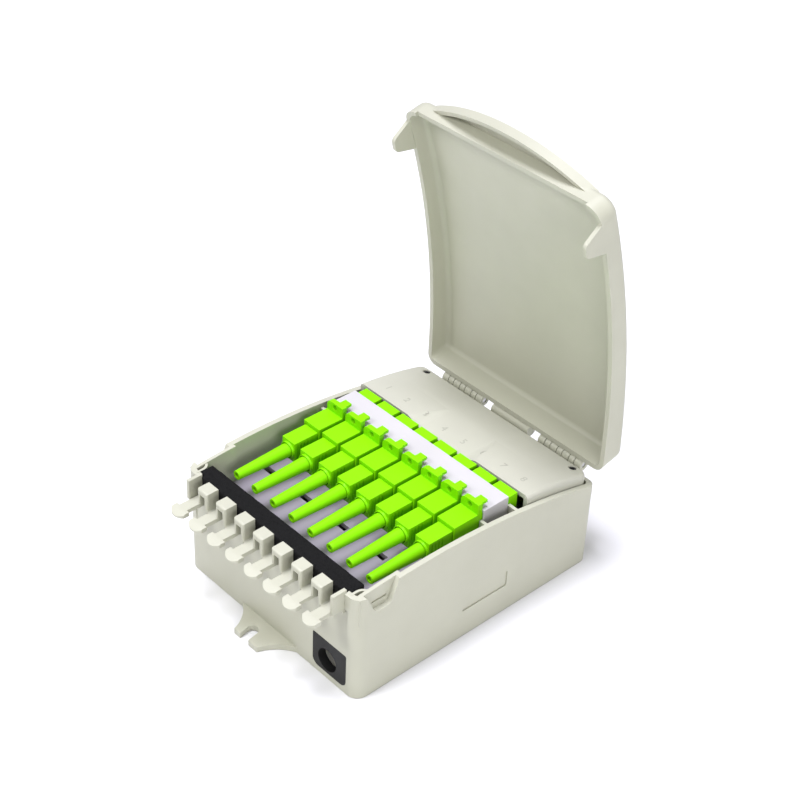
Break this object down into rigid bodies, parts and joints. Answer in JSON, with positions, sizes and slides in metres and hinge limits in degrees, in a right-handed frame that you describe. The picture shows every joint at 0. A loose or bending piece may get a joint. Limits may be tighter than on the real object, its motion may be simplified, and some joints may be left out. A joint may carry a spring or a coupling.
{
  "type": "fibre distribution box",
  "caption": "Small wall box for optical fibre with a row of green push-pull connectors, comb of cable troughs, foam strip and hinged lid",
  "frame": {"origin": "centre of the housing's underside, the face that lies on the wall", "axes": "+X along the row of ports, +Y from the cable comb to the hinge, +Z out of the wall"},
  "size_m": [0.1004, 0.1529, 0.1779],
  "materials": {
    "housing_plastic": "moulded, fine matte grain, warm light grey",
    "lid_plastic": "moulded, fine matte grain, warm light grey",
    "cover_plastic": "moulded, fine matte grain, warm light grey",
    "screw_steel": "dark zinc",
    "pin_steel": "drawn wire",
    "bar_plastic": "white, satin",
    "deck_plastic": "cool grey, satin",
    "foam": "black open-cell foam",
    "grommet_rubber": "black, satin",
    "holder_plastic": "cool grey",
    "adapter_green": "bright yellow-green, satin",
    "grip_green": "bright yellow-green, satin",
    "boot_green": "bright yellow-green, soft",
    "core_white": "white",
    "ceramic": "white ceramic"
  },
  "bodies": {
    "base": {"housing": "housing_plastic", "rear_cover": "cover_plastic", "cover_screws": "screw_steel", "hinge_pin_left": "pin_steel", "hinge_pin_right": "pin_steel", "adapter_bar": "bar_plastic", "deck": "deck_plastic", "cable_foam": "foam", "grommet": "grommet_rubber", "splice_holder": "holder_plastic", "adapter_1": "adapter_green", "alignment_sleeve_1": "ceramic", "connector_core_1": "core_white", "ferrule_1": "ceramic", "connector_boot_1": "boot_green", "adapter_2": "adapter_green", "alignment_sleeve_2": "ceramic", "connector_core_2": "core_white", "ferrule_2": "ceramic", "connector_boot_2": "boot_green", "adapter_3": "adapter_green", "alignment_sleeve_3": "ceramic", "connector_core_3": "core_white", "ferrule_3": "ceramic", "connector_boot_3": "boot_green", "adapter_4": "adapter_green", "alignment_sleeve_4": "ceramic", "connector_core_4": "core_white", "ferrule_4": "ceramic", "connector_boot_4": "boot_green", "adapter_5": "adapter_green", "alignment_sleeve_5": "ceramic", "connector_core_5": "core_white", "ferrule_5": "ceramic", "connector_boot_5": "boot_green", "adapter_6": "adapter_green", "alignment_sleeve_6": "ceramic", "connector_core_6": "core_white", "ferrule_6": "ceramic", "connector_boot_6": "boot_green", "adapter_7": "adapter_green", "alignment_sleeve_7": "ceramic", "connector_core_7": "core_white", "ferrule_7": "ceramic", "connector_boot_7": "boot_green", "adapter_8": "adapter_green", "alignment_sleeve_8": "ceramic", "connector_core_8": "core_white", "ferrule_8": "ceramic", "connector_boot_8": "boot_green"},
    "lid": {"lid": "lid_plastic"},
    "grip_1": {"connector_grip_1": "grip_green"},
    "grip_2": {"connector_grip_2": "grip_green"},
    "grip_3": {"connector_grip_3": "grip_green"},
    "grip_4": {"connector_grip_4": "grip_green"},
    "grip_5": {"connector_grip_5": "grip_green"},
    "grip_6": {"connector_grip_6": "grip_green"},
    "grip_7": {"connector_grip_7": "grip_green"},
    "grip_8": {"connector_grip_8": "grip_green"}
  },
  "joints": [
    {"name": "lid_hinge", "type": "hinge", "parent": "base", "child": "lid", "pos_m": [0, 0.066, 0.039], "axis": [1, 0, 0], "range_deg": [-24, 76]},
    {"name": "grip_slide_1", "type": "slide", "parent": "base", "child": "grip_1", "axis": [0, -1, 0], "range_m": [0, 0.0015]},
    {"name": "grip_slide_2", "type": "slide", "parent": "base", "child": "grip_2", "axis": [0, -1, 0], "range_m": [0, 0.0015]},
    {"name": "grip_slide_3", "type": "slide", "parent": "base", "child": "grip_3", "axis": [0, -1, 0], "range_m": [0, 0.0015]},
    {"name": "grip_slide_4", "type": "slide", "parent": "base", "child": "grip_4", "axis": [0, -1, 0], "range_m": [0, 0.0015]},
    {"name": "grip_slide_5", "type": "slide", "parent": "base", "child": "grip_5", "axis": [0, -1, 0], "range_m": [0, 0.0015]},
    {"name": "grip_slide_6", "type": "slide", "parent": "base", "child": "grip_6", "axis": [0, -1, 0], "range_m": [0, 0.0015]},
    {"name": "grip_slide_7", "type": "slide", "parent": "base", "child": "grip_7", "axis": [0, -1, 0], "range_m": [0, 0.0015]},
    {"name": "grip_slide_8", "type": "slide", "parent": "base", "child": "grip_8", "axis": [0, -1, 0], "range_m": [0, 0.0015]}
  ]
}
